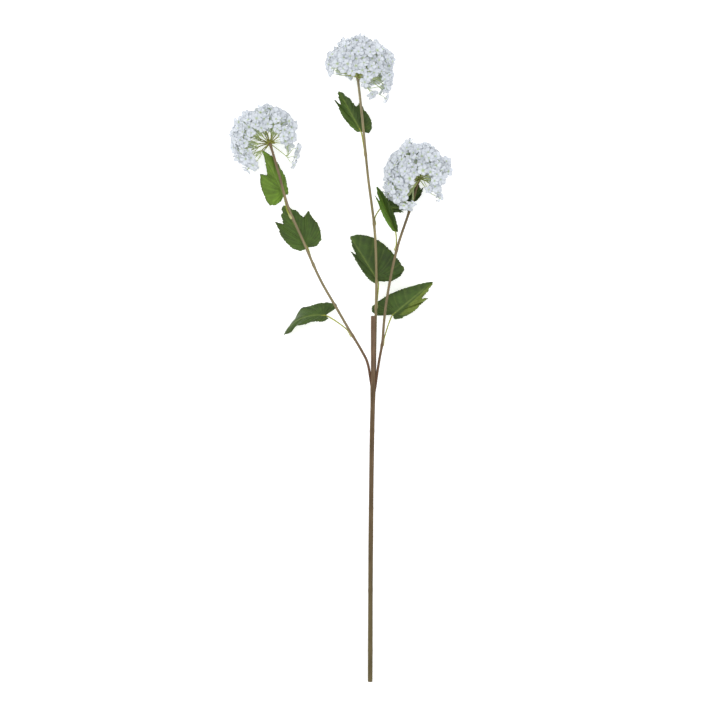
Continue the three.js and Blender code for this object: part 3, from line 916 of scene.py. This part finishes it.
def petal_surface(s, c, radius, cup, curl):
    """The upper side of a petal. s runs from its foot to its tip, c from side to side."""
    reach = radius * rng.uniform(0.85, 1.12)
    half = radius * rng.uniform(0.36, 0.5)
    notch = rng.uniform(0, 0.16)
    x = half * c * np.interp(s, PETAL_ROWS, PETAL_WIDTHS)
    y = PETAL_START + (reach - PETAL_START) * (
        s - 0.12 * c**2 * s**2 - notch * bell(c, 0, 0.3) * s**4
    )
    twist = rng.uniform(4, 22)
    lift = rng.uniform(-1.4, 1.6)
    z = (
        cup * s**1.6 - curl * smooth(0.55, 1.1, s) ** 2 * 1.3
        + 0.1 * half * c**2 * s
        + x * math.tan(math.radians(twist))
        + rng.uniform(0.25, 0.8) * s**1.5 * np.sin(2.4 * math.pi * c + rng.uniform(0, 6.28))
        - 0.35 * bell(c, 0, 0.22) * s * (1 - s) * 2 + lift * s**2
    )
    return x, y, z


def add_floret(petals, stalks, throat, outward, radius, tone):
    """Five petals, each a thin cupped blade that laps over the next, round a small
    green heart. The calyx below belongs to the stalks."""
    basis = facing(outward)
    spin = rng.uniform(0, 2 * math.pi)
    cup = FLORET_CUP * rng.uniform(0.2, 1.5)
    curl = rng.uniform(0.0, 1.6)
    green = rng.uniform(0, 1) ** 3
    throat_colour = mixed(PETAL_SHADE, PETAL_THROAT, green)
    s, c = np.meshgrid(PETAL_ROWS, PETAL_COLUMNS, indexing="ij")
    for i in range(PETALS_PER_FLORET):
        x, y, z = petal_surface(s, c, radius, cup, curl)
        angle = spin + i * 2 * math.pi / PETALS_PER_FLORET + rng.uniform(-0.16, 0.16)
        turned = np.stack([
            x * math.cos(angle) - y * math.sin(angle),
            x * math.sin(angle) + y * math.cos(angle), z,
        ], -1)
        below = turned[1:-1, 1:-1] - [0, 0, PETAL_THICKNESS]
        points = np.concatenate([turned.reshape(-1, 3), below.reshape(-1, 3)])
        petal = PETAL * tone * rng.uniform(0.96, 1.03)
        hue = mixed(throat_colour, petal, smooth(0.08, 0.34, s + 0.05 * c**2))
        under = mixed(PETAL_SHADE * tone, PETAL_THROAT, 0.35 * smooth(0.6, 0, s))[1:-1, 1:-1]
        colours = np.concatenate([hue.reshape(-1, 3), under.reshape(-1, 3)])
        offset = rng.uniform(0, 400)
        grain = np.stack([x + offset, y, 0 * y], -1)
        low_grain = grain[1:-1, 1:-1] + [0, 0, 9]
        petals.add(rested(points @ basis + throat), PETAL_FACES, colours,
                   np.concatenate([grain.reshape(-1, 3), low_grain.reshape(-1, 3)]))
    heart = np.array([[0, 0, -0.9], [0, 0, 0.1], [0, 0, 0.55], [0, 0, 0.85]]) @ basis + throat
    tube(petals, heart, [0.4, 0.55, 0.4, 0.2], 8, mixed(PETAL_THROAT, THROAT_HEART, green))
    foot = throat - outward * CALYX_LENGTH
    calyx = np.array([foot, foot + outward * 1.1, foot + outward * 2.1, foot + outward * 2.9])
    tube(stalks, calyx, [0.42, 0.6, 0.85, 1.15], 7, mixed(PEDICEL, PETAL_THROAT, 0.4))
    return foot


def add_pedicel(stalks, start, way, foot, outward, thickness, sag):
    reach = np.linalg.norm(foot - start)
    bow = rng.normal(0, 0.09 * reach, 3)
    line = bezier(start, start + way * reach * 0.35 + bow,
                  foot - outward * reach * 0.35 + bow + [0, 0, -sag], foot, 9)
    share = np.linspace(0, 1, len(line))
    colours = mixed(YOUNG_RAY, PEDICEL, smooth(0, 0.6, share))
    colours = colours * rng.uniform(0.92, 1.12)
    tube(stalks, line, thickness * (1.15 - 0.3 * share), 6, colours)


def inside_by(outline, x, y):
    """How far a point lies inside an outline; below zero where it is outside."""
    corners = np.array(outline, float)
    ends = np.roll(corners, -1, axis=0)
    point = np.array([x, y])
    edge = ends - corners
    share = np.clip(((point - corners) * edge).sum(1) / (edge**2).sum(1), 0, 1)
    nearest = np.min(np.linalg.norm(point - corners - edge * share[:, None], axis=1))
    crosses = (corners[:, 1] > y) != (ends[:, 1] > y)
    reach = corners[:, 0] + (y - corners[:, 1]) / (edge[:, 1] + 1e-9) * edge[:, 0]
    within = np.count_nonzero(crosses & (x < reach)) % 2 == 1
    return nearest if within else -nearest


CLUSTER_SPREAD = 0.5  # from the middle of a group of florets to its rim
CLUSTER_DOMING = 4.2
FLORET_SPLAY = 0.6  # how far florets turn away from the middle of their cluster
FLORET_UPTURN = 0.4  # and up, in a head's upper half
FLORET_WANDER = 0.32  # the spread of a random turn
FLORET_DEPTHS = (-2.4, 0.6)  # the range of a random step in or out
STRAY_REACH = 3  # how far out the few florets that stand proud can come
THROAT_WANDER = 0.8
RIM_ROOM = 4.2  # how much further inside the outline a floret that faces up has to be
OUTLINE_ROOM = 0.3


def head_florets(form, hub, centre, throat_radius):
    """Where a head's florets sit and the cluster that each belongs to."""
    count = round(4 * math.pi * throat_radius**2 / FLORET_PITCH**2)
    middles = dome_directions(RAY_CLUSTERS, 180)
    for way in dome_directions(count, 180):
        cluster = int(np.argmax(middles @ way))
        middle = middles[cluster]
        away = float(np.linalg.norm(way - middle)) / CLUSTER_SPREAD
        outward = way + FLORET_SPLAY * (way - middle) + rng.normal(0, FLORET_WANDER, 3)
        outward = unit(outward + [0, 0, FLORET_UPTURN * smooth(-0.4, 0.2, way[2])])
        depth = 1.0 - CLUSTER_DOMING * min(away, 1.2) ** 2 \
            + rng.uniform(*FLORET_DEPTHS) + rng.uniform(0, 1) ** 6 * STRAY_REACH
        throat = centre + way * (throat_radius + depth) + rng.normal(0, THROAT_WANDER, 3)
        room = inside_by(form["outline"], *(throat - centre)[:2])
        in_mouth = np.hypot(*(throat - hub)[:2]) < form["mouth"] and throat[2] > hub[2]
        if room > RIM_ROOM * abs(way[2]) + OUTLINE_ROOM and not in_mouth:
            yield cluster, throat, outward


LEAF_ROOM = 4.5
FLORET_SIZES = (0.84, 1.12)  # the range, as shares of FLORET_RADIUS
TIP_REACH = 1.1  # of a petal, as a share of its floret's radius
TIP_DROOP = 2.4
RAY_FORKS = (0.26, 0.4)  # where a ray divides, as shares of the way to its florets
RAY_RADIUS = 0.8
PEDICEL_RADIUS = 0.38
HANGING_PEDICEL_RADIUS = 0.42
HANGING_SAG = 2.5


def place_floret(petals, stalks, throat, outward, fork, way, leaf_points, thickness, sag):
    """One floret on its pedicel, kept above the surface and clear of the leaves."""
    radius = FLORET_RADIUS * rng.uniform(*FLORET_SIZES)
    if np.min(np.linalg.norm(leaf_points - throat, axis=1)) < LEAF_ROOM:
        return
    drop = radius * math.sqrt(1 - outward[2] ** 2) * TIP_REACH + TIP_DROOP
    throat = throat + [0, 0, max(0, SURFACE_CLEARANCE + drop - throat[2])]
    foot = add_floret(petals, stalks, throat, outward, radius, rng.uniform(0.95, 1.03))
    add_pedicel(stalks, fork, way, foot, outward, thickness, sag)


def add_cluster(petals, stalks, florets, hub, axis, colour, leaf_points):
    """One ray from the knob, which divides into the pedicels of its florets."""
    middle = np.mean([throat for throat, _ in florets], axis=0)
    fork = hub + (middle - hub) * rng.uniform(*RAY_FORKS)
    way = unit(fork - hub)
    start = hub + way * (KNOB_RADIUS * 0.5)
    side_way = unit(np.cross(way, axis) + 1e-6)
    bow = side_way * rng.uniform(-2, 2)
    line = bezier(start, start + way * 5, fork - way * 4 + bow, fork, 10)
    swell = np.r_[np.linspace(1.05, 0.75, 8), 0.95, 1.0]
    tube(stalks, line, swell * RAY_RADIUS, 8, colour * rng.uniform(0.85, 1.1))
    for throat, outward in florets:
        place_floret(petals, stalks, throat, outward, fork, way, leaf_points,
                     PEDICEL_RADIUS, 0)


def add_hanging(petals, stalks, form, hub, centre, leaf_points):
    """The ray that reaches below the head, with its few florets on long pedicels."""
    fork = centre + np.array(form["fork"]) * HEAD_RADIUS
    way = unit(fork - hub)
    line = bezier(hub + way * 1.5, hub + way * 9 - [0, 0, 1], fork - way * 4, fork, 14)
    tube(stalks, line, np.linspace(0.7, 0.5, 14), 7, YOUNG_RAY)
    for place in form["hanging"]:
        throat = centre + np.array(place) * HEAD_RADIUS
        facing_down = -0.9 if place[2] < -0.15 else 0.5
        outward = unit(np.array(place) + [0.1, 0.1, facing_down])
        place_floret(petals, stalks, throat, outward, fork, way, leaf_points,
                     HANGING_PEDICEL_RADIUS, HANGING_SAG)


def build_head(side, form, leaf_points):
    lean, tip = math.radians(form["lean"]), math.radians(form["tip"])
    axis = np.array([
        math.sin(lean) * math.cos(tip), math.cos(lean) * math.cos(tip), -math.sin(tip),
    ])
    hub = branch_paths[side][-1]
    centre = hub + axis * (HEAD_RADIUS - form["back"]) + form["shift"]
    clusters = {}
    for cluster, throat, outward in head_florets(form, hub, centre, HEAD_RADIUS - FLORET_CUP):
        clusters.setdefault(cluster, []).append((throat, outward))
    petals, stalks = Shape(), Shape()
    ray_colour = OPEN_RAY if side == "left" else RAY
    for florets in clusters.values():
        add_cluster(petals, stalks, florets, hub, axis, ray_colour, leaf_points)
    add_hanging(petals, stalks, form, hub, centre, leaf_points)
    nodes = [f"{side}_cluster_{i + 1:02d}" for i in range(CAD_CLUSTERS)]
    petals.piece(f"{side}_head_petals", PETALS, "floret", nodes)
    stalks.piece(f"{side}_head_stalks", STALKS, "branch", nodes)


# -------------------------------------------------------------- assembly

build_stem()
build_branches()
leaf_points = np.concatenate([build_leaf(name, leaf) for name, leaf in LEAVES.items()])
for side, form in HEADS.items():
    build_head(side, form, leaf_points)

# ----------------------------------------------------------------- stage

FLOOR_HALF = 6.0  # metres, as are the lights' places and sizes
FLOOR_COLOUR = (0.93, 0.93, 0.93, 1)
FLOOR_GLOW = 0.4
WORLD_COLOUR = (0.97, 0.985, 1, 1)
WORLD_STRENGTH = 1.0
# Each light's place, size and power in watts.
LIGHTS = {
    "key": ((-1.6, 1.2, 2.6), 1.8, 17),
    "fill": ((1.8, -1.4, 2.2), 2.2, 8),
}
VIEW_CENTRE = np.array([-12.2, -52.8])
VIEW_WIDTH = 864
VIEW_LEVEL = 25  # the height at which the view is that wide
LENS = 300
SENSOR = 36
CLIP_END = 60  # metres


def build_floor():
    mesh = bpy.data.meshes.new("floor")
    h = FLOOR_HALF
    mesh.from_pydata([(-h, -h, 0), (h, -h, 0), (h, h, 0), (-h, h, 0)], [], [(0, 1, 2, 3)])
    made, _, shader = new_material("pale_surface", 0.9, 0.1)
    shader.inputs["Base Color"].default_value = FLOOR_COLOUR
    shader.inputs["Emission Color"].default_value = (1, 1, 1, 1)
    shader.inputs["Emission Strength"].default_value = FLOOR_GLOW
    mesh.materials.append(made)
    floor = bpy.data.objects.new("floor", mesh)
    bpy.context.scene.collection.objects.link(floor)


def add_light(name, place, size, power):
    light = bpy.data.lights.new(name, "AREA")
    light.size = size
    light.energy = power
    lamp = bpy.data.objects.new(name, light)
    lamp.location = place
    lamp.rotation_euler = (-Vector(place)).to_track_quat("-Z", "Y").to_euler()
    bpy.context.scene.collection.objects.link(lamp)


def build_stage():
    build_floor()
    world = bpy.data.worlds.new("studio")
    world.use_nodes = True
    background = world.node_tree.nodes["Background"]
    background.inputs["Color"].default_value = WORLD_COLOUR
    background.inputs["Strength"].default_value = WORLD_STRENGTH
    bpy.context.scene.world = world
    for name, (place, size, power) in LIGHTS.items():
        add_light(name, place, size, power)
    bpy.context.scene.view_settings.view_transform = "Standard"

    camera_data = bpy.data.cameras.new("camera")
    camera_data.lens = LENS
    camera_data.sensor_width = SENSOR
    camera_data.clip_end = CLIP_END
    camera = bpy.data.objects.new("camera", camera_data)
    distance = VIEW_WIDTH / SENSOR * LENS
    middle = (ORIGIN[:2] + VIEW_CENTRE) * MM
    camera.location = (middle[0], middle[1], (distance + VIEW_LEVEL) * MM)
    bpy.context.scene.collection.objects.link(camera)
    bpy.context.scene.camera = camera


build_stage()
